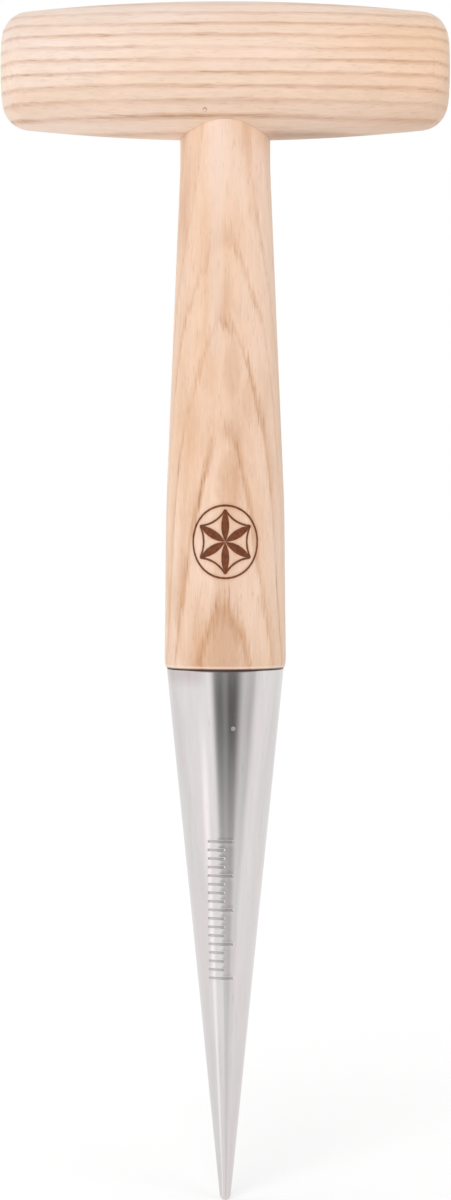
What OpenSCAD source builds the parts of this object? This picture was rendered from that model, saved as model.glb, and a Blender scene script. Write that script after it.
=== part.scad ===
// Potato planter: a T-handled hand planter with an ash cross handle and stem on a steel cone.
// Frame: the tip of the cone is the origin, +Z runs up the stem and X runs along the cross handle.
// The front faces -Y. Sizes are in millimetres.

/* [Heights] */
// Length of the steel cone, from its tip to the rim that the wood seats on
cone_length = 124.2; // [100:0.1:150]
// Length of the stem that shows, from the steel's rim to the underside of the cross handle
stem_length = 123; // [90:0.1:150]

/* [Cross handle] */
// Length of the cross handle from end to end
bar_length = 104; // [80:0.5:140]
// Diameter of the cross handle at its middle
bar_mid_d = 32.5; // [30:0.1:40]
// Diameter that the barrel curve would reach at the ends if their edges weren't rounded
bar_end_d = 26.3; // [22:0.1:29]
// Radius that rounds the edge at each end of the cross handle
bar_end_round = 6.5; // [2:0.1:9]

/* [Stem] */
// Diameter of the stem's neck and of its tenon in the cross handle
stem_top_d = 21; // [17:0.1:23]
// Length of the straight neck below the cross handle, above the stem's taper
stem_neck = 6.5; // [2:0.1:20]
// Diameter of the stem where its long taper eases
stem_break_d = 27.6; // [25:0.1:28]
// Height above the rim at which the long taper eases
stem_break_h = 37.6; // [25:0.1:60]
// Radius that blends the long taper into the straighter foot
stem_blend_r = 300; // [50:10:400]
// Diameter of the stem at its foot, just above the steel
stem_foot_d = 28.3; // [28.1:0.1:32]
// Height of the eased edge at the foot
stem_edge_h = 2.3; // [1:0.1:5]
// How far the eased edge turns in
stem_edge_in = 0.33; // [0.1:0.01:0.8]

/* [Tenon in the cross handle] */
// Depth of the tenon above the underside of the cross handle
tenon_depth = 23; // [12:0.5:26]
// Bevel on the tenon's upper edge
tenon_bevel = 1; // [0.3:0.1:2]
// Glue gap round the tenon
tenon_clearance = 0.05; // [0.02:0.01:0.3]

/* [Steel cone] */
// Outer diameter of the cone at its rim
rim_d = 27.4; // [24:0.1:28]
// Radius of the rounded tip
tip_r = 1.3; // [0.8:0.1:3]
// Wall thickness of the hollow cone
shell_wall = 1.5; // [1:0.1:2.2]
// Bevel on the outer edge of the rim
rim_bevel = 0.25; // [0.1:0.05:0.6]

/* [Nose] */
// Length of the solid nose below the hollow cone
nose_length = 30; // [25:0.5:45]
// Length of the shank that the nose has inside the hollow cone
nose_shank_length = 8; // [4:0.5:14]
// Gap round the nose's shank
nose_clearance = 0.05; // [0.02:0.01:0.2]

/* [Spigot in the steel cone] */
// Length of the stem's spigot below the rim
spigot_length = 52; // [30:0.5:60]
// Bevel on the spigot's lower edge
spigot_bevel = 1; // [0.3:0.1:2]
// Glue gap round the spigot
spigot_clearance = 0.05; // [0.02:0.01:0.3]

/* [Pins] */
// Diameter of the pin through the steel into the spigot
cone_pin_d = 1; // [0.8:0.1:3]
// Length of the cone pin, measured from the steel's surface
cone_pin_length = 11; // [6:0.5:12]
// Distance of the cone pin below the rim
cone_pin_drop = 13.5; // [6:0.1:25]
// Turn of the cone pin from the front towards the right
cone_pin_turn = 8.6; // [-20:0.1:20]
// Diameter of the brad through the cross handle into the tenon
handle_pin_d = 0.8; // [0.6:0.1:2.5]
// Length of the brad
handle_pin_length = 20; // [14:0.5:22]
// Distance of the brad below the axis of the cross handle
handle_pin_drop = 10.3; // [3:0.1:11]
// Distance of the brad to the left of the stem's axis
handle_pin_left = 4.7; // [0:0.1:6]
// Depth to which the brad's end is punched below the wood
handle_pin_set = 0.2; // [0:0.1:1]
// Gap round each pin in its hole
pin_clearance = 0.02; // [0.01:0.01:0.1]

/* [Hidden] */

// Smoothness of circles, of the long shallow arc of the barrel and of the stem's arcs
round_fn = 96;
barrel_fn = 720;
arc_steps = 8;
// Cuts run this far past the surface that they open
past = 1;

ash = [0.93, 0.80, 0.66];
steel = [0.80, 0.80, 0.81];
pin_steel = [0.55, 0.55, 0.57];

// Heights along the stem's axis
underside_z = cone_length + stem_length;
bar_z = underside_z + bar_mid_d / 2;
tenon_top_z = underside_z + tenon_depth;
spigot_end_z = cone_length - spigot_length;

// The barrel curve of the cross handle, an arc through its middle and both ends
bar_sag = (bar_mid_d - bar_end_d) / 2;
bar_arc_r = (pow(bar_length / 2, 2) + pow(bar_sag, 2)) / (2 * bar_sag);
bar_arc_centre = bar_mid_d / 2 - bar_arc_r;

// The cone's half angle, for a side that is tangent to the round tip and reaches the rim
rim_r = rim_d / 2;
tip_to_rim = [rim_r, cone_length - tip_r];
cone_angle = atan2(tip_to_rim.x, tip_to_rim.y) - asin(tip_r / norm(tip_to_rim));

// Radius of the cross handle at a distance along it, and of the cone and its bore at a height
function bar_r(along) = bar_arc_centre + sqrt(pow(bar_arc_r, 2) - pow(along, 2));
function cone_r(z) = rim_r - (cone_length - z) * tan(cone_angle);
function bore_r(z) = cone_r(z) - shell_wall / cos(cone_angle);
function spigot_r(z) = bore_r(z) - spigot_clearance / cos(cone_angle);

// Points of the arc of radius r that rounds the corner b between the points a and c
function blend(a, b, c, r) =
    let (u = (a - b) / norm(a - b))
    let (v = (c - b) / norm(c - b))
    let (half = acos(u * v) / 2)
    let (centre = b + (u + v) / norm(u + v) * r / sin(half))
    let (from = b + u * r / tan(half) - centre)
    let (to = b + v * r / tan(half) - centre)
    let (start = atan2(from.y, from.x))
    let (turn = atan2(to.y, to.x) - start)
    let (sweep = turn - 360 * round(turn / 360))
    [for (i = [0 : arc_steps]) centre + r * unit_at(start + sweep * i / arc_steps)];
function unit_at(angle) = [cos(angle), sin(angle)];

// The region at one end of the barrel outline that its rounded edge replaces
end_round_z = bar_length / 2 - bar_end_round;
end_round_r = bar_arc_centre + sqrt(pow(bar_arc_r - bar_end_round, 2) - pow(end_round_z, 2));
end_round_angle = asin(end_round_z / (bar_arc_r - bar_end_round));
module end_edge() {
    centre = [end_round_r, end_round_z];
    polygon([
        centre,
        centre + (bar_end_round + past) * unit_at(end_round_angle),
        [bar_mid_d / 2 + past, bar_length / 2 + past],
        centre + [0, bar_end_round + past],
    ]);
}

// Half of the cross handle's outline: radius across, length along
module bar_outline() {
    difference() {
        intersection() {
            translate([bar_arc_centre, 0]) circle(r = bar_arc_r, $fn = barrel_fn);
            translate([0, -bar_length / 2]) square([bar_mid_d, bar_length]);
        }
        for (side = [0, 1]) {
            mirror([0, side]) end_edge();
        }
    }
    for (side = [0, 1]) {
        mirror([0, side]) intersection() {
            translate([end_round_r, end_round_z]) circle(r = bar_end_round, $fn = round_fn);
            end_edge();
        }
    }
}

// Hole of the brad, open at the front of the cross handle
handle_pin_x = -handle_pin_left;
handle_pin_z = bar_z - handle_pin_drop;
handle_pin_front = -sqrt(pow(bar_r(handle_pin_x), 2) - pow(handle_pin_drop, 2)) + handle_pin_set;
module handle_pin_at(d, front, length) {
    translate([handle_pin_x, front, handle_pin_z]) rotate([-90, 0, 0])
        cylinder(d = d, h = length, $fn = round_fn);
}
module handle_pin_hole() {
    mouth = handle_pin_set + past + handle_pin_d;
    handle_pin_at(handle_pin_d + 2 * pin_clearance, handle_pin_front - mouth, handle_pin_length + mouth);
}

// A round bar along the cone pin's axis, from its inner end out through the steel
cone_pin_z = cone_length - cone_pin_drop;
module cone_pin_at(d) {
    rotate([0, 0, cone_pin_turn]) translate([0, cone_pin_length - cone_r(cone_pin_z), cone_pin_z])
        rotate([90, 0, 0]) cylinder(d = d, h = cone_pin_length + past, $fn = round_fn);
}

module cross_handle() {
    color(ash) difference() {
        translate([0, 0, bar_z]) rotate([0, 90, 0]) rotate_extrude($fn = round_fn) bar_outline();
        translate([0, 0, underside_z - past])
            cylinder(d = stem_top_d + 2 * tenon_clearance, h = tenon_depth + past, $fn = round_fn);
        handle_pin_hole();
    }
}

// Half of the stem's outline, from the tenon down the neck and the tapered side to the spigot
module stem_outline() {
    neck = [stem_top_d / 2, underside_z - stem_neck];
    easing = [stem_break_d / 2, cone_length + stem_break_h];
    foot = [stem_foot_d / 2, cone_length + stem_edge_h];
    edge_r = (pow(stem_edge_h, 2) + pow(stem_edge_in, 2)) / (2 * stem_edge_in);
    edge_angle = asin(stem_edge_h / edge_r);
    edge = [for (i = [0 : arc_steps]) foot + edge_r * (unit_at(-edge_angle * i / arc_steps) - [1, 0])];
    polygon(concat(
        [[0, tenon_top_z], [neck.x - tenon_bevel, tenon_top_z], [neck.x, tenon_top_z - tenon_bevel], neck],
        blend(neck, easing, foot, stem_blend_r),
        edge,
        [
            [spigot_r(cone_length), cone_length],
            [spigot_r(spigot_end_z + spigot_bevel), spigot_end_z + spigot_bevel],
            [spigot_r(spigot_end_z) - spigot_bevel, spigot_end_z],
            [0, spigot_end_z],
        ]
    ));
}

module stem() {
    color(ash) difference() {
        rotate_extrude($fn = round_fn) stem_outline();
        handle_pin_hole();
        cone_pin_at(cone_pin_d + 2 * pin_clearance);
    }
}

module steel_cone() {
    color(steel) difference() {
        rotate_extrude($fn = round_fn) polygon([
            [bore_r(nose_length), nose_length],
            [cone_r(nose_length), nose_length],
            [cone_r(cone_length - rim_bevel), cone_length - rim_bevel],
            [rim_r - rim_bevel, cone_length],
            [bore_r(cone_length), cone_length],
        ]);
        cone_pin_at(cone_pin_d + 2 * pin_clearance);
    }
}

module nose_point() {
    tangent_z = tip_r * (1 - sin(cone_angle));
    shank_r = bore_r(nose_length) - nose_clearance;
    color(steel) rotate_extrude($fn = round_fn) {
        intersection() {
            translate([0, tip_r]) circle(r = tip_r, $fn = round_fn);
            square([2 * tip_r, tangent_z]);
        }
        polygon([
            [0, tangent_z],
            [cone_r(tangent_z), tangent_z],
            [cone_r(nose_length), nose_length],
            [shank_r, nose_length],
            [shank_r, nose_length + nose_shank_length],
            [0, nose_length + nose_shank_length],
        ]);
    }
}

// The pin's outer end is ground flush with the cone
module cone_pin() {
    color(pin_steel) intersection() {
        cone_pin_at(cone_pin_d);
        rotate_extrude($fn = round_fn)
            polygon([[0, nose_length], [cone_r(nose_length), nose_length], [rim_r, cone_length], [0, cone_length]]);
    }
}

module handle_pin() {
    color(pin_steel) handle_pin_at(handle_pin_d, handle_pin_front, handle_pin_length);
}

cross_handle();
stem();
steel_cone();
nose_point();
cone_pin();
handle_pin();
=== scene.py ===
import math

import bpy
import numpy as np
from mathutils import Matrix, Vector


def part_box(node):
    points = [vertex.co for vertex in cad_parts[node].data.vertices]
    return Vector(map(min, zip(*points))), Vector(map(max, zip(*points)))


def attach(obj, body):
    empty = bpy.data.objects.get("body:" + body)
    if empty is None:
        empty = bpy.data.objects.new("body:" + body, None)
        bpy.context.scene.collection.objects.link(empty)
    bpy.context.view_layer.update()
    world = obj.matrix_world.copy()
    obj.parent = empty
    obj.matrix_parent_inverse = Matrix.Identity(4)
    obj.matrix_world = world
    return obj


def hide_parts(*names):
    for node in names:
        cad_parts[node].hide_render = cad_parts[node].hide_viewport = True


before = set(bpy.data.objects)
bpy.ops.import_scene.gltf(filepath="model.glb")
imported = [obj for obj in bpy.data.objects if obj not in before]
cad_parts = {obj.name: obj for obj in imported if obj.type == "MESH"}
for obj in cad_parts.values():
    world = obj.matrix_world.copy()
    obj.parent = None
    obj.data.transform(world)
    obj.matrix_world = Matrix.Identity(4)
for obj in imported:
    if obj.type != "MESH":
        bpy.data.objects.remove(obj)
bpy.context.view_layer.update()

# The potato planter's looks: a turned ash cross handle and stem on a brushed steel cone.
# Sizes are in millimetres until a mesh is made. The front faces -Y, and an azimuth is measured
# from the front towards +X, in degrees.
MM = 0.001
TINY = 1e-9


def box_mm(node):
    """Lowest and highest corner of a CAD node, in millimetres."""
    low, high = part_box(node)
    return np.array(low) / MM, np.array(high) / MM


# Sizes that the frame gives
bar_low, bar_high = box_mm("cross_handle")
stem_low, stem_high = box_mm("stem")
cone_low, cone_high = box_mm("steel_cone")
nose_high_z = box_mm("nose_point")[1][2]
brad_low, brad_high = box_mm("handle_pin")
pin_low, pin_high = box_mm("cone_pin")
bar_length = bar_high[0] - bar_low[0]
bar_mid_r = (bar_high[2] - bar_low[2]) / 2
bar_z = (bar_high[2] + bar_low[2]) / 2
underside_z = bar_low[2]
tenon_top_z = stem_high[2]
spigot_end_z = stem_low[2]
stem_foot_r = stem_high[0]
cone_length = cone_high[2]
rim_r = cone_high[0]
nose_length = cone_low[2]

# Cross handle
bar_end_r = 13.15
bar_end_round = 6.5
bore_r_in_bar = 10.55

# Stem
stem_top_r = 10.5
stem_neck_z = underside_z - 6.5
stem_break_r = 13.8
stem_break_z = cone_length + 37.6
stem_blend_r = 300
stem_foot_z = cone_length + 2.3
stem_edge_in = 0.33
stem_shoulder_bevel = 0.35
tenon_bevel = 1
spigot_bevel = 1
glue_gap = 0.05

# Steel cone and its nose
tip_r = 1.3
shell_wall = 1.5
rim_bevel = 0.25
rim_over_tip = cone_length - tip_r
cone_angle = math.atan2(rim_r, rim_over_tip) - math.asin(tip_r / math.hypot(rim_r, rim_over_tip))

# Pins
pin_r = 0.5
pin_turn = 8.6
pin_z = (pin_low[2] + pin_high[2]) / 2
pin_length = 11
pin_dome = 0.14
pin_gap = 0.02
brad_r = (brad_high[0] - brad_low[0]) / 2
brad_x = (brad_high[0] + brad_low[0]) / 2
brad_z = (brad_high[2] + brad_low[2]) / 2

# The mark burnt into the front of the stem, and the depth scale stamped into the front of the cone. A wall
# is the pair of distances from an edge between which a sunk shape goes from level to its full depth.
mark_z = 153.7
mark_width = 16
mark_height = 17.2
mark_line = 0.5
mark_depth = 0.2
mark_wall = -0.08, 0.1
mark_margin = 0.6
petal_gap = 0.9
unmarked = -9
scale_low_z = 52.5
scale_high_z = 84.5
scale_step = 2
scale_left = 4
long_every = 4
tick_long = 5.8
tick_short = 3.8
tick_line = 0.45
tick_depth = 0.14
tick_wall = 0.1, -0.08
stamped_wall = 0.12, -0.08
burr_height = 0.035
burr_place = 0.16
burr_reach = 0.1
scale_margin = 1

# How closely the meshes follow the shapes: steps along a piece in millimetres and round it in degrees,
# and the turn of an edge that stays sharp
bar_along, bar_round = 1.4, 2.5
stem_along, stem_round = 2, 4
mark_along, mark_round = 0.13, 0.55
stem_edge_along = 0.25
cone_along, cone_round = 1.5, 4
scale_round = 1
pin_hole_along, pin_hole_margin = 0.4, 2
tick_rows = 0.5, 0.38, 0.3, 0.22, 0.14
corner_turn = 6
wood_crease, steel_crease = 38, 30
pin_columns, hole_columns, bore_columns = 48, 32, 160

# How far a cutter reaches past the surface that it opens, and what still counts as the same place
past, bore_past = 1, 5
touch = 0.01

# The map that a piece is baked through: strips at its foot for the walls of drilled holes, how much of
# its strip a wall fills, and how much of its own length a run gets that other pieces cover
map_strip = 0.02
map_foot = 2 * map_strip
strip_used = 0.8
hidden_share = 0.2

# The stem's colour: a pale streak left of its middle, and tan patches inside its arches, each with the
# place of its middle, its reach across and along, and its strength
pale_streak_x = -2
tan_patches = [
    (0.8, 167, 3.4, 9, 0.36),
    (1.7, 193.5, 2.7, 8, 0.28),
    (5.4, 187, 2, 7, 0.3),
    (-0.2, 128, 4.8, 13, 0.5),
]


def spaced(start, stop, step):
    """Even values from start to stop, both included, at most a step apart."""
    count = max(1, math.ceil(abs(stop - start) / step - TINY))
    return list(np.linspace(start, stop, count + 1))


def joined(*runs):
    """Runs of values as one list, with each shared end kept once."""
    values = list(runs[0])
    for run in runs[1:]:
        values += list(run[1:])
    return values


def smooth_step(low, high, value):
    """0 below low and 1 above high, with a soft change between them."""
    share = np.clip((value - low) / (high - low), 0, 1)
    return share * share * (3 - 2 * share)


def even_round(columns):
    """Azimuths of evenly spaced columns."""
    return np.arange(columns) * 360 / columns - 180


def columns_round(fine_from, fine_to, fine, coarse):
    """Azimuths of a turned piece's columns, closer together between two azimuths."""
    azimuths = joined(
        spaced(-180, fine_from, coarse), spaced(fine_from, fine_to, fine), spaced(fine_to, 180, coarse)
    )
    return azimuths[:-1]


def linked(name, data):
    """A new object of the scene that has the data."""
    made = bpy.data.objects.new(name, data)
    bpy.context.scene.collection.objects.link(made)
    return made


def across_front(turn, radius):
    """How far round from the front an azimuth in radians lies, in millimetres."""
    return np.arctan2(np.sin(turn), np.cos(turn)) * radius


def turned(name, outline, azimuths, shift=None, closed=False, hidden=None):
    """A piece turned about Z. The outline lists (radius, height) with the solid on its inner side as
    it runs down, the azimuths list the columns, shift(azimuth, height, radius) moves its points outwards,
    and hidden(radius, height) says where other pieces cover it. A closed outline runs back to its start."""
    outline = np.array(outline, float)
    columns = len(azimuths)
    turn = np.radians(azimuths)
    points, rings = [], []
    for radius, height in outline:
        if radius < TINY:
            rings.append([len(points)] * columns)
            points.append((0, 0, height))
            continue
        reach = radius + (shift(turn, height, radius) if shift else np.zeros(columns))
        rings.append(range(len(points), len(points) + columns))
        points += zip(reach * np.sin(turn), -reach * np.cos(turn), np.full(columns, height))
    if closed:
        rings.append(rings[0])
        outline = np.vstack([outline, outline[:1]])
    # Each ring's place up the map follows the outline's length, and each column's place across it the turn
    steps = np.hypot(*np.diff(outline, axis=0).T)
    if hidden:
        middles = (outline[1:] + outline[:-1]) / 2
        steps *= [hidden_share if hidden(*middle) else 1 for middle in middles]
    run = np.r_[0, np.cumsum(steps)]
    down = 1 - run / run[-1] * (1 - map_foot)
    round_share = np.r_[turn, turn[0] + 2 * math.pi] / (2 * math.pi) + 0.5
    faces, maps = [], []
    for i in range(len(rings) - 1):
        for j in range(columns):
            k = (j + 1) % columns
            corners = [(rings[i][j], j, i), (rings[i + 1][j], j, i + 1),
                       (rings[i + 1][k], j + 1, i + 1), (rings[i][k], j + 1, i)]
            if corners[0][0] == corners[3][0]:
                corners.pop(3)
            elif corners[1][0] == corners[2][0]:
                corners.pop(2)
            faces.append([c[0] for c in corners])
            maps += [(round_share[c[1]], down[c[2]]) for c in corners]
    mesh = bpy.data.meshes.new(name)
    mesh.from_pydata(np.array(points) * MM, [], faces)
    mesh.uv_layers.new(name="OFBake").data.foreach_set("uv", np.array(maps, np.float32).ravel())
    mesh.shade_smooth()
    return linked(name, mesh)


def points_of(mesh):
    """A mesh's points in metres, one row each."""
    points = np.empty(len(mesh.vertices) * 3, np.float32)
    mesh.vertices.foreach_get("co", points)
    return points.reshape(-1, 3)


def moved(piece, rows, offset):
    """The piece with its points turned by the rows of a rotation and moved by an offset in millimetres."""
    mesh = piece.data
    points = points_of(mesh) @ np.array(rows, np.float32).T + np.array(offset, np.float32) * MM
    mesh.vertices.foreach_set("co", points.ravel())
    mesh.update()
    return piece


def keep_values(piece, name, values_at):
    """Stores a value at each of the piece's points for its material to read: values_at(across, height),
    where across runs round the piece from its front, in millimetres."""
    mesh = piece.data
    x, y, z = points_of(mesh).T / MM
    values = values_at(np.arctan2(x, -y) * np.hypot(x, y), z)
    mesh.attributes.new(name, "FLOAT", "POINT").data.foreach_set("value", values.astype(np.float32))


def drilled(piece, *cutters):
    """The piece with each cutter's shape taken out of it. The walls that a cutter leaves get a strip of the
    piece's map."""
    for number, tool in enumerate(cutters):
        layer = tool.data.uv_layers["OFBake"].data
        places = np.empty(len(layer) * 2, np.float32)
        layer.foreach_get("uv", places)
        down = (places[1::2] - map_foot) / (1 - map_foot)
        places[1::2] = (number + strip_used * down) * map_strip
        layer.foreach_set("uv", places)
        cut = piece.modifiers.new("cut", "BOOLEAN")
        cut.object = tool
        cut.operation = "DIFFERENCE"
        cut.solver = "EXACT"
    made = bpy.data.meshes.new_from_object(piece.evaluated_get(bpy.context.evaluated_depsgraph_get()))
    made.name = piece.name
    piece.modifiers.clear()
    piece.data = made
    for tool in cutters:
        bpy.data.objects.remove(tool)
    return piece


def crisp(piece, angle=wood_crease):
    """Smooth shading that keeps the edges over the angle sharp."""
    piece.data.set_sharp_from_angle(angle=math.radians(angle))
    return piece


def cutter(name, radius, start, end, columns):
    """A plain round bar about Z between two heights, to drill a hole with."""
    outline = [(0, end), (radius, end), (radius, start), (0, start)]
    return turned(name, outline, even_round(columns))


# Rows of rotations: Z to X with the front kept, Z to the front, and the cone pin's own turn
ALONG_X = [(0, 0, 1), (0, 1, 0), (-1, 0, 0)]
TO_FRONT = [(1, 0, 0), (0, 0, -1), (0, 1, 0)]
pin_cos, pin_sin = math.cos(math.radians(pin_turn)), math.sin(math.radians(pin_turn))
TO_PIN = [(pin_cos, 0, pin_sin), (pin_sin, 0, -pin_cos), (0, 1, 0)]


def brad_hole():
    """A cutter along the brad, from its inner end out through the front."""
    tool = cutter("brad_hole", brad_r + pin_gap, -brad_high[1], bar_mid_r + past, hole_columns)
    return moved(tool, TO_FRONT, (brad_x, 0, brad_z))


def pin_hole(start):
    """A cutter along the cone pin, from a distance in front of the stem's axis out through the steel."""
    tool = cutter("pin_hole", pin_r + pin_gap, start, rim_r + past, hole_columns)
    return moved(tool, TO_PIN, (0, 0, pin_z))


def cross_handle():
    """The barrel-shaped grip, with rounded ends, the bore for the tenon and the brad's hole."""
    half = bar_length / 2
    sag = bar_mid_r - bar_end_r
    arc_r = (half ** 2 + sag ** 2) / (2 * sag)
    arc_centre = bar_mid_r - arc_r
    round_z = half - bar_end_round
    round_r = arc_centre + math.sqrt((arc_r - bar_end_round) ** 2 - round_z ** 2)
    round_turn = math.degrees(math.asin(round_z / (arc_r - bar_end_round)))
    end = [(0, half), (round_r / 3, half), (round_r * 2 / 3, half)]
    for turn in spaced(90, round_turn, corner_turn):
        way = math.radians(turn)
        end.append((round_r + bar_end_round * math.cos(way), round_z + bar_end_round * math.sin(way)))
    side_z = spaced(end[-1][1], -end[-1][1], bar_along)
    side = [(arc_centre + math.sqrt(arc_r ** 2 - z ** 2), z) for z in side_z]
    outline = end[:-1] + side + [(r, -z) for r, z in reversed(end[:-1])]
    piece = turned("cross_handle_turned", outline, spaced(-180, 180, bar_round)[:-1])
    moved(piece, ALONG_X, (0, 0, bar_z))
    bore = cutter("bore", bore_r_in_bar, underside_z - bore_past, tenon_top_z, bore_columns)
    return crisp(drilled(piece, bore, brad_hole()))


# The stem's slopes below and above its break, how far they blend there, and the radius of its foot's edge
foot_slope = (stem_foot_r - stem_break_r) / (stem_break_z - stem_foot_z)
taper_slope = (stem_break_r - stem_top_r) / (stem_neck_z - stem_break_z)
blend_reach = stem_blend_r * (taper_slope - foot_slope) ** 2 / 2
edge_r = ((stem_foot_z - cone_length) ** 2 + stem_edge_in ** 2) / (2 * stem_edge_in)


def stem_side(z):
    """Radius of the stem's side at a height."""
    taper = stem_top_r + max(stem_neck_z - z, 0) * taper_slope
    foot = stem_foot_r - max(z - stem_foot_z, 0) * foot_slope
    share = max(1 - abs(taper - foot) / blend_reach, 0)
    radius = min(taper, foot) - share * share * blend_reach / 4
    if z < stem_foot_z:
        radius -= edge_r - math.sqrt(edge_r ** 2 - (stem_foot_z - z) ** 2)
    return radius


def rosette(across, up):
    """How deep a point lies inside the burnt parts of the mark: a ring that holds six petals, with an arc
    from each petal's point to the next."""
    ring_r = (mark_height - mark_line) / 2
    petal_r = ring_r - petal_gap
    u, v = across * mark_height / mark_width, up

    def to_centre(reach, turn):
        way = math.radians(turn)
        return np.hypot(u - reach * math.cos(way), v - reach * math.sin(way))

    depth = mark_line / 2 - np.abs(to_centre(0, 0) - ring_r)
    for turn in range(0, 360, 60):
        petal = petal_r - np.maximum(to_centre(petal_r, turn - 30), to_centre(petal_r, turn + 90))
        arc = mark_line / 2 - np.abs(to_centre(petal_r * math.sqrt(3), turn) - petal_r)
        arc = np.where(to_centre(0, 0) < petal_r, arc, unmarked)
        depth = np.maximum(depth, np.maximum(petal, arc))
    return depth


def stem_shift(turn, z, radius):
    """The burnt mark sinks into the stem's front."""
    return -mark_depth * smooth_step(*mark_wall, rosette(across_front(turn, radius), z - mark_z))


def stem():
    """The tapered stem with its tenon and spigot, and the mark burnt into its front."""

    def in_joint(radius, height):
        return height > underside_z or height < cone_length + touch

    def scorch(across, height):
        return np.where(height > underside_z, unmarked, rosette(across, height - mark_z))

    mark_turn = math.degrees((mark_width / 2 + mark_margin) / stem_break_r)
    mark_half = mark_height / 2 + mark_margin
    shoulder_z = cone_length + stem_shoulder_bevel
    heights = joined(
        spaced(underside_z, stem_neck_z, stem_along),
        spaced(stem_neck_z, mark_z + mark_half, stem_along),
        spaced(mark_z + mark_half, mark_z - mark_half, mark_along),
        spaced(mark_z - mark_half, stem_foot_z, stem_along),
        spaced(stem_foot_z, shoulder_z, stem_edge_along),
    )
    top = [(0, tenon_top_z), (stem_top_r - tenon_bevel, tenon_top_z), (stem_top_r, tenon_top_z - tenon_bevel)]
    side = [(stem_side(z), z) for z in heights] + [(stem_side(shoulder_z) - stem_shoulder_bevel, cone_length)]
    bevel_z, end_r = spigot_end_z + spigot_bevel, spigot_r(spigot_end_z) - spigot_bevel
    spigot = [(spigot_r(z), z) for z in (cone_length, bevel_z)] + [(r, spigot_end_z) for r in (end_r, 0)]
    azimuths = columns_round(-mark_turn, mark_turn, mark_round, stem_round)
    piece = turned("stem_turned", top + side + spigot, azimuths, stem_shift, hidden=in_joint)
    drilled(piece, brad_hole(), pin_hole(cone_r(pin_z) - pin_length))
    keep_values(piece, "scorch", scorch)
    return crisp(piece)


def cone_r(z):
    """Outer radius of the cone at a height."""
    return rim_r - (cone_length - z) * math.tan(cone_angle)


def bore_r(z):
    """Inner radius of the cone at a height."""
    return cone_r(z) - shell_wall / math.cos(cone_angle)


def spigot_r(z):
    """Radius of the stem's spigot at a height."""
    return bore_r(z) - glue_gap / math.cos(cone_angle)


tick_heights = spaced(scale_low_z, scale_high_z, scale_step)


def tick_outside(across, z):
    """How far a point of the cone's side lies outside the nearest tick of the stamped scale, whose long
    and short ticks all start on its left."""
    number = int(np.argmin([abs(z - t) for t in tick_heights]))
    half = (tick_short if number % long_every else tick_long) / 2
    from_middle = np.abs(across + scale_left - half) - half
    return np.maximum(abs(z - tick_heights[number]) - tick_line / 2, from_middle)


def cone_shift(turn, z, radius):
    """The stamped ticks sink into the cone's outer side, each with a low burr along its edges."""
    by_scale = scale_low_z - scale_margin < z < scale_high_z + scale_margin
    if abs(radius - cone_r(z)) > touch or not by_scale:
        return np.zeros(len(turn))
    outside = tick_outside(across_front(turn, radius), z)
    burr = np.exp(-((outside - burr_place) / burr_reach) ** 2)
    return burr_height * burr - tick_depth * smooth_step(*tick_wall, outside)


def steel_cone():
    """The hollow cone, with its bevelled rim, the stamped scale and the pin's hole."""

    def in_bore(radius, height):
        return radius < cone_r(height) - rim_bevel

    def stamped(across, height):
        outside = [tick_outside(*place) for place in zip(across, height)]
        return smooth_step(*stamped_wall, np.array(outside, np.float32))

    fine_from, fine_to = -40, 32
    heights = joined(
        spaced(cone_length - rim_bevel, pin_z + pin_hole_margin, cone_along),
        spaced(pin_z + pin_hole_margin, pin_z - pin_hole_margin, pin_hole_along),
        spaced(pin_z - pin_hole_margin, scale_high_z + scale_margin, cone_along),
    )
    for z in reversed(tick_heights):
        heights += [z + d for d in tick_rows] + [z] + [z - d for d in reversed(tick_rows)]
    heights += spaced(scale_low_z - scale_margin, nose_length, cone_along)
    outline = [(cone_r(z), z) for z in heights]
    outline += [(bore_r(z), z) for z in (nose_length, cone_length)] + [(rim_r - rim_bevel, cone_length)]
    azimuths = columns_round(fine_from, fine_to, scale_round, cone_round)
    piece = turned("steel_cone_turned", outline, azimuths, cone_shift, True, in_bore)
    drilled(piece, pin_hole(0))
    keep_values(piece, "stamped", stamped)
    return crisp(piece, steel_crease)


def nose_point():
    """The solid nose that closes the cone, with its shank inside it."""
    fine_half = 32
    tangent_z = tip_r * (1 - math.sin(cone_angle))
    shank_r = bore_r(nose_length) - glue_gap
    outline = [(0, nose_high_z), (shank_r, nose_high_z), (shank_r, nose_length)]
    outline += [(cone_r(z), z) for z in spaced(nose_length, tangent_z, cone_along)]
    for turn in spaced(-math.degrees(cone_angle), -90, corner_turn)[1:-1]:
        way = math.radians(turn)
        outline.append((tip_r * math.cos(way), tip_r + tip_r * math.sin(way)))
    outline.append((0, 0))
    azimuths = columns_round(-fine_half, fine_half, scale_round, cone_round)
    return crisp(turned("nose_point_turned", outline, azimuths), steel_crease)


def cone_pin():
    """The pin through the steel, with a low domed end."""
    front = cone_r(pin_z)
    dome_r = (pin_r ** 2 + pin_dome ** 2) / (2 * pin_dome)
    dome_foot = front + pin_dome - dome_r
    outline = [(r, dome_foot + math.sqrt(dome_r ** 2 - r ** 2)) for r in spaced(0, pin_r, pin_r / 8)]
    outline += [(pin_r, front - pin_length), (0, front - pin_length)]
    piece = turned("cone_pin_turned", outline, even_round(pin_columns))
    return crisp(moved(piece, TO_PIN, (0, 0, pin_z)))


def handle_pin():
    """The brad, with a softened end."""
    front, back = -brad_low[1], -brad_high[1]
    flat_share, edge_height = 0.75, 0.15
    outline = [(0, front), (brad_r * flat_share, front), (brad_r, front - edge_height)]
    outline += [(brad_r, back), (0, back)]
    piece = turned("handle_pin_turned", outline, even_round(hole_columns))
    return crisp(moved(piece, TO_FRONT, (brad_x, 0, brad_z)))


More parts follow.
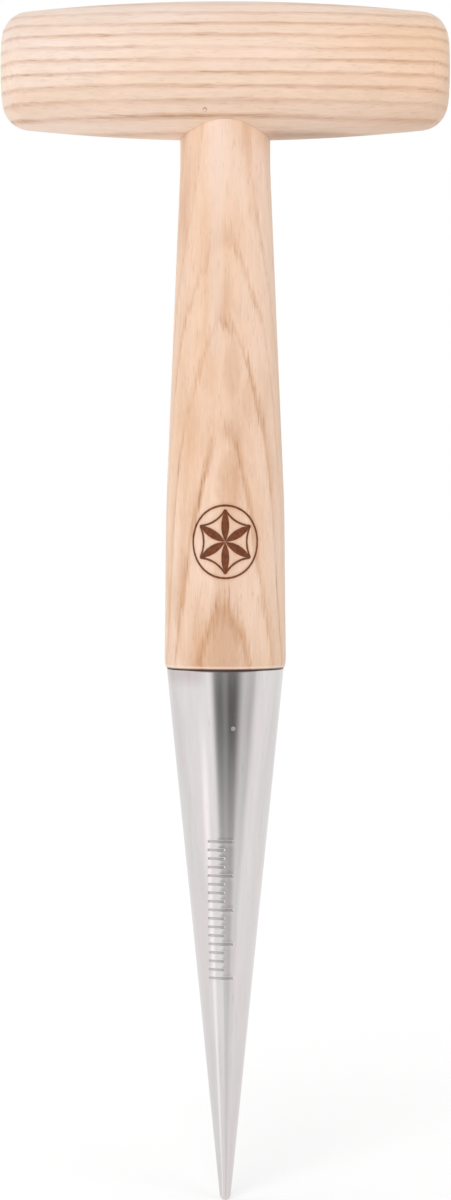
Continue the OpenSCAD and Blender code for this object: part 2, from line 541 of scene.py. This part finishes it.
def rgb(red, green, blue):
    """A display colour of 0 to 255 as the linear colour that a shader takes."""
    shares = [c / 255 for c in (red, green, blue)]
    return tuple(s / 12.92 if s <= 0.04045 else ((s + 0.055) / 1.055) ** 2.4 for s in shares) + (1,)


# How far apart the noises of two seeds lie
SEED_GAP = 7.31


class Field:
    """A number that varies over a surface. Arithmetic on it adds nodes to its tree."""

    def __init__(self, tree, socket):
        self.tree, self.socket = tree, socket

    def __add__(self, other):
        return self.tree.math("ADD", self, other)

    def __radd__(self, other):
        return self.tree.math("ADD", other, self)

    def __sub__(self, other):
        return self.tree.math("SUBTRACT", self, other)

    def __rsub__(self, other):
        return self.tree.math("SUBTRACT", other, self)

    def __mul__(self, other):
        return self.tree.math("MULTIPLY", self, other)

    def __rmul__(self, other):
        return self.tree.math("MULTIPLY", other, self)

    def __truediv__(self, other):
        return self.tree.math("DIVIDE", self, other)


class Tree:
    """A node tree that is written as formulas."""

    def __init__(self, owner):
        owner.use_nodes = True
        self.tree = owner.node_tree
        self.tree.nodes.clear()

    def node(self, kind, inputs=None, **settings):
        made = self.tree.nodes.new(kind)
        for name, value in settings.items():
            setattr(made, name, value)
        for name, value in (inputs or {}).items():
            if isinstance(value, Field):
                value = value.socket
            if isinstance(value, bpy.types.NodeSocket):
                self.tree.links.new(value, made.inputs[name])
            else:
                made.inputs[name].default_value = value
        return made

    def math(self, operation, *values):
        made = self.node("ShaderNodeMath", dict(enumerate(values)), operation=operation)
        return Field(self, made.outputs[0])

    def position(self):
        """The point's place in the piece, as a vector in millimetres and as its three parts."""
        place = self.node("ShaderNodeTexCoord").outputs["Object"]
        vector = self.scaled(place, (1 / MM,) * 3)
        parts = self.node("ShaderNodeSeparateXYZ", {0: vector}).outputs
        return vector, [Field(self, part) for part in parts]

    def scaled(self, vector, factors):
        return self.node("ShaderNodeVectorMath", {0: vector, 1: factors}, operation="MULTIPLY").outputs[0]

    def noise(self, vector, seed, detail=2, roughness=0.5):
        """Smooth noise about 0.5, in steps of one unit of the vector."""
        inputs = {
            "Vector": vector, "W": seed * SEED_GAP, "Scale": 1, "Detail": detail, "Roughness": roughness,
        }
        return Field(self, self.node("ShaderNodeTexNoise", inputs, noise_dimensions="4D").outputs[0])

    def speckle(self, fine, seed):
        """Even mottle all over a piece, with fine spots to the millimetre."""
        return self.noise(self.scaled(self.position()[0], (fine,) * 3), seed)

    def kept(self, name):
        """The value that the piece's points have stored under a name."""
        return Field(self, self.node("ShaderNodeAttribute", attribute_name=name).outputs["Fac"])

    def step(self, value, low, high, change="SMOOTHSTEP"):
        """0 below low and 1 above high, with a soft change between them, or an even one with LINEAR."""
        inputs = {"Value": value, "From Min": low, "From Max": high}
        return Field(self, self.node("ShaderNodeMapRange", inputs, interpolation_type=change).outputs[0])

    def ramp(self, share, stops):
        """A brightness that runs evenly from stop to stop. Each stop is a share of 0 to 1 and a value."""
        top = max(value for place, value in stops)
        made = self.node("ShaderNodeValToRGB", {0: share})
        elements = made.color_ramp.elements
        while len(elements) < len(stops):
            elements.new(0.5)
        for element, (place, value) in zip(elements, stops):
            element.position = place
            element.color = (value / top,) * 3 + (1,)
        return Field(self, made.outputs[0]) * top

    def mix(self, share, first, second, blend="MIX"):
        """Two colours mixed, with a share of 0 for the first."""
        inputs = {0: share, 6: first, 7: second}
        return self.node("ShaderNodeMix", inputs, data_type="RGBA", blend_type=blend).outputs[2]

    def finish(self, shader):
        self.node("ShaderNodeOutputMaterial", {"Surface": shader})


def stem_rings(tree, x, y, z):
    """Growth rings of the stem, cut so that their arches stand one above another on its front, a little
    left of its middle, with a few more low ones near its foot, and how strong their lines are. That is
    less near the cross handle and more in the arches' inner rings and right limbs."""
    arch_z, arch_soft, arch_spread, arch_pace, above_pace = 218.9, 5, 21.3, 1.85, 0.02
    dome_z, dome_soft, dome_pace = 140, 1.5, 0.018
    width, widening, widest, lean = 2.4, 0.42, 4.0, math.radians(2.6)

    def fall(height, soft):
        return tree.math("LOGARITHM", 1 + tree.math("EXPONENT", (height - z) / soft), math.e) * soft

    below = fall(arch_z, arch_soft)
    above = below - (arch_z - z)
    climb = arch_pace * tree.math("LOGARITHM", 1 + below / arch_spread, math.e) - above_pace * above
    climb = climb + dome_pace * fall(dome_z, dome_soft)
    taper = stem_top_r + tree.math("MAXIMUM", stem_neck_z - z, 0) * taper_slope
    foot = stem_foot_r - (z - stem_foot_z) * foot_slope
    depth = tree.math("MINIMUM", taper, foot) + y * math.cos(lean) + x * math.sin(lean)
    count = climb - depth / tree.math("MINIMUM", width + widening * depth, widest)
    force = 0.55 + 0.45 * tree.step(count, 0.1, 0.9) + 0.3 * tree.step(count, 1.9, 2.6)
    force = force * (1 - 0.45 * tree.step(z, 228, 244))
    right_limb = tree.step(x, -1, 1.5) * (1 - tree.step(x, 5.5, 8.5)) * tree.step(z, 176, 184)
    return count, force * (1 + 0.35 * right_limb * (1 - tree.step(z, 197, 203)))


def bar_rings(tree, x, y, z):
    """Growth rings of the cross handle, which run along it and lean a little to the back, and how strong
    their lines are, which is more low on its left."""
    ring_width, lean, bow, first, lean_end_y = 2.99, math.radians(6.4), 0.0000194, 0.351, -8
    front = tree.math("MINIMUM", y, lean_end_y)
    across = (z - bar_z) * math.cos(lean) + front * math.sin(lean)
    low = tree.step(bar_z - z, 9, 11) * (1 - tree.step(bar_z - z, 12.2, 13.4))
    low_left = low * (1 - tree.step(x, -8, 2))
    return across / ring_width + x * x * bow + first, 1 + 0.5 * low_left


def ash(tree, rings, fibre, seed, colours, wander, onset, peak, strength, halo, heart, blotch):
    """Colour, roughness and height of oiled ash, with its fibre along one axis. Each growth ring is cream
    wood with a thin porous line, which starts at the onset, is strongest at the peak and ends at the next
    ring, and a soft tan halo leads up to it. wander is how far the lines stray across the rings, broadly,
    finely and in fibres, and how many millimetres they stray along the fibres. heart is the tan of the
    wood inside the innermost arch and blotch that of soft patches."""
    pale, deep, tan, pore = colours
    heart_from, heart_full, heart_line, heart_edge, heart_core = 2.76, 3.0, 3.03, 3.1, 3.15
    place, (x, y, z) = tree.position()

    def grain(across, along, number, detail=2, roughness=0.5):
        factors = [along if axis == fibre else across for axis in range(3)]
        return tree.noise(tree.scaled(place, factors), seed + number, detail, roughness)

    along = (grain(2.2, 0.16, 15) - 0.5) * wander[3]
    parts = [part + along if axis == fibre else part for axis, part in enumerate((x, y, z))]
    count, force = rings(tree, *parts)
    count = count + peak
    strays = [grain(0.05, 0.01, 1), grain(0.3, 0.03, 2), grain(2.2, 0.16, 3)]
    for stray, reach in zip(strays, wander):
        count = count + (stray - 0.5) * reach
    number = tree.math("FLOOR", count)
    share = count - number
    own = Field(tree, tree.node("ShaderNodeTexWhiteNoise", {"W": number}, noise_dimensions="1D").outputs[0])
    end = 1 - tree.step(share, peak, 1, "LINEAR")
    line = tree.step(share, onset, peak, "LINEAR") * end
    patchy = 0.3 + 1.4 * tree.step(grain(0.25, 0.03, 4), 0.25, 0.75)
    line = line * (0.7 + 0.3 * own) * patchy * (0.8 * force)
    band = tree.step(share, 0.2, peak) * end * tree.step(grain(0.16, 0.035, 11), 0.4, 0.65) * force
    pores = tree.step(grain(3.2, 0.16, 5, 1), 0.54, 0.7)
    flecks = tree.step(grain(2.6, 0.4, 12, 1), 0.6, 0.75)
    sparks = tree.step(grain(2.2, 0.3, 14, 1), 0.62, 0.78)
    streaks = grain(1.5, 0.045, 6, 3, 0.6)
    mottle = grain(0.9, 0.28, 13, 2)
    fibres = grain(4.5, 0.12, 7, 1)
    patches = tree.step(grain(0.13, 0.03, 8), 0.45, 0.75)
    warmth = tree.step(grain(0.08, 0.018, 9), 0.35, 0.65)
    colour = tree.mix(warmth, pale, deep)
    ring = count - peak
    core = tree.step(ring, heart_edge, heart_core)
    inmost = tree.step(ring, heart_from, heart_full) * (1 - 0.35 * core)
    colour = tree.mix(inmost * heart, colour, tan)
    inner_line = tree.step(ring, heart_line, heart_edge) * (1 - core)
    colour = tree.mix(inner_line * 0.6 * heart, colour, tan)
    colour = tree.mix(patches * blotch, colour, tan)
    colour = tree.mix(band * halo, colour, tan)
    colour = tree.mix(line * strength, colour, tan)
    colour = tree.mix(pores * (0.1 + 0.5 * line) + flecks * 0.2, colour, pore)
    colour = tree.mix(sparks * 0.4, colour, pale)
    colour = tree.mix(1, colour, 0.84 + 0.14 * streaks + 0.06 * fibres + 0.14 * mottle, "MULTIPLY")
    rough = 0.5 + 0.1 * line + 0.16 * (grain(0.8, 0.1, 10) - 0.5)
    height = streaks * 0.35 + fibres * 0.15 - pores * (0.2 + 0.8 * line) - flecks * 0.2 - line * 0.3
    return colour, rough, height


def wood_finish(tree, colour, rough, height):
    """Ends a wood's tree with its shader, which has a low sheen of fine fibres."""
    bump = tree.node("ShaderNodeBump", {"Strength": 0.5, "Distance": 0.06 * MM, "Height": height})
    inputs = {
        "Base Color": colour, "Roughness": rough, "Normal": bump.outputs[0],
        "Sheen Weight": 0.55, "Sheen Roughness": 0.4, "Sheen Tint": (1, 0.88, 0.74, 1),
    }
    tree.finish(tree.node("ShaderNodeBsdfPrincipled", inputs).outputs[0])


def bar_wood():
    """The cross handle's ash, darker and warmer to the right, partly its own tone and partly painted shade,
    and paler on top as a painted sheen, with painted shade low down and right of the stem, and the wood
    stained brown round the brad."""
    material = bpy.data.materials.new("cross_handle_ash")
    tree = Tree(material)
    colours = rgb(255, 233, 220), rgb(251, 225, 205), rgb(210, 168, 138), rgb(186, 142, 112)
    colour, rough, height = ash(
        tree, bar_rings, fibre=0, seed=1, colours=colours, wander=(0.3, 0.3, 0.26, 0), onset=0.5,
        peak=0.8, strength=0.66, halo=0.12, heart=0, blotch=0.1,
    )
    x, y, z = tree.position()[1]
    # darker and warmer to the right: partly the ash's own tone, partly painted shade where the light from the
    # left falls off
    warm_tone_and_shade = 0.5 * tree.step(x, -55, 28) + 0.3 * tree.step(x, 15, 50)
    # less of it on top, which paints a pale grazing sheen along the top
    warm_tone_and_shade = warm_tone_and_shade * (1 - 0.6 * tree.step(z - bar_z, 6, 14))
    colour = tree.mix(warm_tone_and_shade, colour, rgb(244, 227, 207), "MULTIPLY")
    # painted shade: the lower half of the bar a little darker, less so at its very bottom and right of the
    # stem
    low = tree.step(bar_z - z, 2, 10) * (1 - 0.6 * tree.step(bar_z - z, 12, 14.5))
    low = low * (1 - 0.7 * tree.step(x, 5, 20))
    colour = tree.mix(low, colour, rgb(251, 246, 240), "MULTIPLY")
    joint_shade = tree.step(bar_z - z, 13.6, 15.6) * tree.step(x, 8, 12) * (1 - tree.step(x, 20, 34))
    colour = tree.mix(joint_shade, colour, rgb(222, 214, 206), "MULTIPLY")
    from_brad = tree.math("SQRT", (x - brad_x) * (x - brad_x) + (z - brad_z) * (z - brad_z))
    brown_tint = (1 - tree.step(from_brad, 0.3, 0.8)) * tree.step(-1 * y, 0, 1)
    colour = tree.mix(brown_tint * 0.15, colour, rgb(150, 104, 74))
    wood_finish(tree, colour, rough, height)
    return material


def stem_wood():
    """The stem's ash, with a pale streak and tan patches on its front, a painted highlight on the eased edge
    and dark end grain with painted shade of the groove at the shoulder, and the burnt mark browned."""
    material = bpy.data.materials.new("stem_ash")
    tree = Tree(material)
    tan_tone = rgb(208, 156, 114)
    colours = rgb(250, 219, 197), rgb(243, 206, 175), tan_tone, rgb(172, 122, 88)
    colour, rough, height = ash(
        tree, stem_rings, fibre=2, seed=31, colours=colours, wander=(0.5, 0.22, 0.1, 14), onset=0.74,
        peak=0.9, strength=0.62, halo=0.36, heart=0.36, blotch=0.5,
    )
    x, y, z = tree.position()[1]
    front = tree.step(-1 * y, 0, 2)
    from_streak = tree.math("ABSOLUTE", x - pale_streak_x + (tree.speckle(0.2, 14) - 0.5) * 2)
    streak = (1 - tree.step(from_streak, 0.8, 2.6)) * tree.step(z, 192, 202) * front
    colour = tree.mix(streak * 0.4, colour, rgb(252, 228, 216))
    for patch_x, patch_z, across, along, tan in tan_patches:
        u, v = (x - patch_x) / across, (z - patch_z) / along
        patch = 1 - tree.step(u * u + v * v + (tree.speckle(0.5, 16) - 0.5) * 0.8, 0.1, 1)
        colour = tree.mix(patch * front * tan, colour, tan_tone)
    middle = tree.step(z, 135, 165) * (1 - 0.8 * tree.step(z, 220, 240))
    colour = tree.mix(middle, colour, rgb(252, 248, 244), "MULTIPLY")
    up = z - cone_length
    # painted highlight: a pale band on the eased edge just above the shoulder, where the edge would catch the
    # light
    painted_edge_highlight = tree.step(up, 0.25, 0.5) * (1 - tree.step(up, 0.6, 1))
    colour = tree.mix(painted_edge_highlight * 0.6, colour, rgb(254, 236, 218))
    # dark brown at the shoulder: partly the end grain's own darker tone, partly painted shade of the groove
    # between the wood and the steel
    end_grain_and_groove_shade = 1 - tree.step(up, 0.1, 0.4)
    colour = tree.mix(end_grain_and_groove_shade * 0.9, colour, rgb(96, 66, 50))
    depth = tree.kept("scorch") + (tree.speckle(1.6, 12) - 0.5) * 0.16
    burnt = tree.step(depth, -0.1, 0.12)
    singed = tree.step(depth, -0.9, 0)
    colour = tree.mix(singed * 0.2, colour, rgb(190, 122, 82))
    char = tree.mix(tree.step(tree.speckle(1.1, 11), 0.35, 0.65), rgb(94, 40, 2), rgb(122, 58, 8))
    colour = tree.mix(burnt * 0.98, colour, char)
    wood_finish(tree, colour, rough + 0.2 * burnt, height * (1 - 0.5 * burnt))
    return material


def steel(name, tone, rough, brushing, seed, used=False):
    """Turned and brushed steel: fine lines run round it, and soft streaks and handling marks run down it.
    Used steel has a brown band under the rim, part grime and part painted shade of the joint, a painted
    reflection of the wood on its left under the stem's shoulder, and dull ground in its stamped marks."""
    material = bpy.data.materials.new(name)
    tree = Tree(material)
    place, (x, y, z) = tree.position()
    lines = tree.noise(tree.scaled(place, (0.2, 0.2, 9)), seed, 3, 0.6)
    scratches = tree.step(tree.noise(tree.scaled(place, (2.2, 2.2, 0.12)), seed + 1, 2), 0.64, 0.74)
    patches = tree.noise(tree.scaled(place, (0.12, 0.12, 0.05)), seed + 2, 3)
    streaks = tree.noise(tree.scaled(place, (0.9, 0.9, 0.035)), seed + 3, 2)
    blush = tree.step(tree.noise(tree.scaled(place, (0.3, 0.3, 0.015)), seed + 4, 1), 0.4, 0.65)
    colour = tree.mix(blush * 0.25, rgb(*tone), rgb(224, 208, 208))
    colour = tree.mix(1, colour, 0.9 + 0.04 * lines + 0.04 * patches + 0.12 * streaks, "MULTIPLY")
    colour = tree.mix(scratches * 0.25, colour, rgb(190, 184, 178))
    roughness = rough + 0.06 * (patches - 0.5) + 0.04 * (lines - 0.5) + 0.05 * scratches
    if used:
        # a brown band just under the rim, deeper on the front: part grime, part painted shade of the groove
        # where the stem meets the steel
        rim_band_reach = 0.3 + 0.35 * tree.step(-1 * y, 10, rim_r)
        brown_tint = tree.step(z, cone_length - rim_band_reach, cone_length - 0.5 * rim_band_reach)
        stamped = tree.kept("stamped")
        colour = tree.mix(brown_tint * 0.85, colour, rgb(104, 66, 54))
        colour = tree.mix(stamped * 0.6, colour, rgb(176, 172, 168))
        # painted reflection of the wood: the steel a little darker and warmer on its front left, just under
        # the stem's shoulder
        painted_wood_reflection = tree.step(z, cone_length - 5, cone_length - 1) * (1 - tree.step(x, -7, -3))
        painted_wood_reflection = painted_wood_reflection * tree.step(-1 * y, 0, 3)
        colour = tree.mix(painted_wood_reflection, colour, rgb(238, 232, 232), "MULTIPLY")
        roughness = roughness + 0.2 * brown_tint + 0.15 * stamped
    height = lines - 0.5 * scratches
    bump = tree.node("ShaderNodeBump", {"Strength": 0.1, "Distance": 0.015 * MM, "Height": height})
    tangent = tree.node("ShaderNodeTangent", direction_type="RADIAL", axis="Z")
    inputs = {
        "Base Color": colour, "Metallic": 1.0, "Roughness": roughness, "Anisotropic": brushing,
        "Anisotropic Rotation": 0.25, "Tangent": tangent.outputs[0], "Normal": bump.outputs[0],
    }
    tree.finish(tree.node("ShaderNodeBsdfPrincipled", inputs).outputs[0])
    return material


def placed(piece, material, body, node):
    """Gives a piece its material, hangs it on the body that it rides on, and hides the CAD node that it
    stands for.
    """
    piece.data.materials.clear()
    piece.data.materials.append(material)
    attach(piece, body)
    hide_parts(node)


cone_steel = steel("cone_steel", tone=(221, 217, 217), rough=0.2, brushing=0.7, seed=3, used=True)
pin_steel = steel("pin_steel", tone=(188, 186, 184), rough=0.5, brushing=0.0, seed=9)
brad_steel = steel("brad_steel", tone=(246, 222, 202), rough=0.6, brushing=0.0, seed=15)
placed(cross_handle(), bar_wood(), "root", "cross_handle")
placed(stem(), stem_wood(), "root", "stem")
placed(steel_cone(), cone_steel, "root", "steel_cone")
placed(nose_point(), cone_steel, "root", "nose_point")
placed(cone_pin(), pin_steel, "root", "cone_pin")
placed(handle_pin(), brad_steel, "root", "handle_pin")

# Camera: level, a little above the stem's middle, with the frame shifted down to the planter
camera_distance = 800
camera_height = 161
camera_right = 0.06
frame_height = 280.3
frame_middle_z = 140
sensor_width = 36
clip_near, clip_far = 0.05, 50


def make_camera():
    """The photograph's camera, with the frame shifted and not the camera tilted."""
    data = bpy.data.cameras.new("camera")
    camera = linked("camera", data)
    data.sensor_width = sensor_width
    data.lens = sensor_width * camera_distance / frame_height
    data.shift_y = (frame_middle_z - camera_height) / frame_height
    data.clip_start, data.clip_end = clip_near, clip_far
    camera.location = np.array((camera_right, -camera_distance, camera_height)) * MM
    camera.rotation_euler = (math.pi / 2, 0, 0)
    bpy.context.scene.camera = camera


def area_lamp(name, place, aim, size, power):
    """A soft lamp at a place, turned to an aim, with places in metres and power in watts. It lights only:
    neither the camera nor the steel shows it."""
    data = bpy.data.lights.new(name, "AREA")
    data.shape = "DISK"
    data.size = size
    data.energy = power
    lamp = linked(name, data)
    lamp.location = place
    lamp.visible_camera = False
    lamp.visible_glossy = False
    toward = np.array(aim) - np.array(place)
    flat = math.hypot(toward[0], toward[1])
    lamp.rotation_euler = (math.atan2(flat, -toward[2]), 0, math.atan2(-toward[0], toward[1]))


def seen_directly(tree):
    """1 for the rays that show a surface to the camera, straight or in steel or glass, and 0 for light."""
    path = tree.node("ShaderNodeLightPath").outputs
    rays = [Field(tree, path[name]) for name in ("Is Camera Ray", "Is Glossy Ray", "Is Transmission Ray")]
    return tree.math("MAXIMUM", tree.math("MAXIMUM", rays[0], rays[1]), rays[2])


def make_world(ambient):
    """A plain white studio: white where it is seen, and ambient as light."""
    world = bpy.data.worlds.new("studio")
    bpy.context.scene.world = world
    tree = Tree(world)
    strength = ambient + (1 - ambient) * seen_directly(tree)
    background = tree.node("ShaderNodeBackground", {"Color": (1, 1, 1, 1), "Strength": strength})
    tree.node("ShaderNodeOutputWorld", {"Surface": background.outputs[0]})


def make_floor(half_width, near_fill, far_fill, near_reach):
    """A plain white floor that keeps the planter's shadow. Its fill makes it white where it is seen, and is
    less near the planter, which the lamps light too."""
    floor_tone = 0.85
    mesh = bpy.data.meshes.new("floor")
    corners = [(px * half_width, py * half_width, 0) for px, py in ((-1, -1), (1, -1), (1, 1), (-1, 1))]
    mesh.from_pydata(corners, [], [(0, 1, 2, 3)])
    floor = linked("floor", mesh)
    material = bpy.data.materials.new("floor_white")
    tree = Tree(material)
    diffuse = tree.node("ShaderNodeBsdfDiffuse", {"Color": (floor_tone,) * 3 + (1,)})
    x, y = tree.position()[1][:2]
    far = tree.step(tree.math("SQRT", x * x + y * y), 0, near_reach, "LINEAR")
    fill = near_fill + (far_fill - near_fill) * far
    glow = tree.node("ShaderNodeEmission", {"Strength": fill * seen_directly(tree)})
    tree.finish(tree.node("ShaderNodeAddShader", {0: diffuse.outputs[0], 1: glow.outputs[0]}).outputs[0])
    mesh.materials.append(material)


def make_card_ring():
    """A ring of studio cards close round the cone and under it, which only the steel's reflections show: a
    dark card in front, which narrows, drifts aside and fades downwards, with bright ones beside it, a glow
    low on its left and a narrow dark one behind."""
    radius, height, columns, foot_hole_r, foot_gap = 70, 150, 96, 2, 0.05
    # Angle to the right of the front in degrees, and the brightness there
    across = [
        (-180, 0.88), (-120, 0.9), (-95, 1.0), (-44, 1.0), (-34, 1.05), (-28, 1.0), (-22, 0.3), (-18, 0.12),
        (-8, 0.1), (-3, 0.22), (2, 0.22), (7, 0.06), (18, 0.05), (23, 0.14), (30, 0.46), (36, 0.7),
        (43, 0.68), (50, 0.56), (56, 0.6), (63, 0.86), (72, 1.0), (95, 1.0), (120, 0.9), (180, 0.88),
    ]
    # Height, and how strongly the cards show there
    upward = [
        (0, 0.14), (20, 0.22), (34, 0.34), (50, 0.42), (76, 0.64), (98, 1.0), (105, 1.0), (113, 0.82),
        (150, 0.0),
    ]
    narrow, drift = 1.8, 17
    glow_turn, glow_reach, glow_low_z, glow_high_z, glow_force = -47, 13, 78, 104, 0.32
    back_from, back_full, back_force = 0.95 * radius, 0.985 * radius, 0.7
    foot_level, level_z = 0.93, 40
    circle = [(radius * math.sin(a), -radius * math.cos(a)) for a in np.radians(even_round(columns))]
    points = [(px, py, pz) for pz in (foot_gap, height) for px, py in circle]
    points += [(px * foot_hole_r / radius, py * foot_hole_r / radius, foot_gap) for px, py in circle]
    faces = []
    for above in (columns, 2 * columns):
        for j in range(columns):
            k = (j + 1) % columns
            faces.append((j, k, k + above, j + above))
    mesh = bpy.data.meshes.new("card_ring")
    mesh.from_pydata(np.array(points) * MM, [], faces)
    cards = linked("card_ring", mesh)
    material = bpy.data.materials.new("card")
    tree = Tree(material)
    x, y, z = tree.position()[1]
    below = (1 - z / cone_length) * (1 - z / cone_length)
    azimuth = tree.math("ARCTAN2", x, -1 * y) * (180 / math.pi)
    turned_right = azimuth * (1 + narrow * below) - drift * below
    bright = tree.ramp(turned_right / 360 + 0.5, [(angle / 360 + 0.5, value) for angle, value in across])
    bright = bright * (1 - back_force * tree.step(y, back_from, back_full))
    shown = tree.ramp(z / height, [(z_mm / height, value) for z_mm, value in upward])
    from_glow = tree.math("ABSOLUTE", azimuth - glow_turn)
    glow = (1 - tree.step(from_glow, 0, glow_reach)) * (1 - tree.step(z, glow_low_z, glow_high_z))
    level = foot_level + (1 - foot_level) * tree.step(z, 0, level_z)
    strength = (1 + (bright - 1) * shown + glow_force * glow) * level
    tree.finish(tree.node("ShaderNodeEmission", {"Strength": strength}).outputs[0])
    mesh.materials.append(material)
    cards.visible_camera = False
    cards.visible_diffuse = False
    cards.visible_transmission = False
    cards.visible_volume_scatter = False
    cards.visible_shadow = False


make_camera()
make_world(ambient=0.6)
make_floor(half_width=12, near_fill=0.3, far_fill=0.5, near_reach=500)
make_card_ring()
area_lamp("key_lamp", (-0.2, -0.82, 0.85), aim=(0, 0, 0.2), size=0.5, power=2.5)
area_lamp("fill_lamp", (0.6, -0.85, 0.36), aim=(0, 0, 0.15), size=0.7, power=2.1)
area_lamp("side_lamp", (-0.4, 0, 0.08), aim=(0, 0, 0.25), size=0.3, power=0.55)

bpy.context.scene.view_settings.view_transform = "Standard"
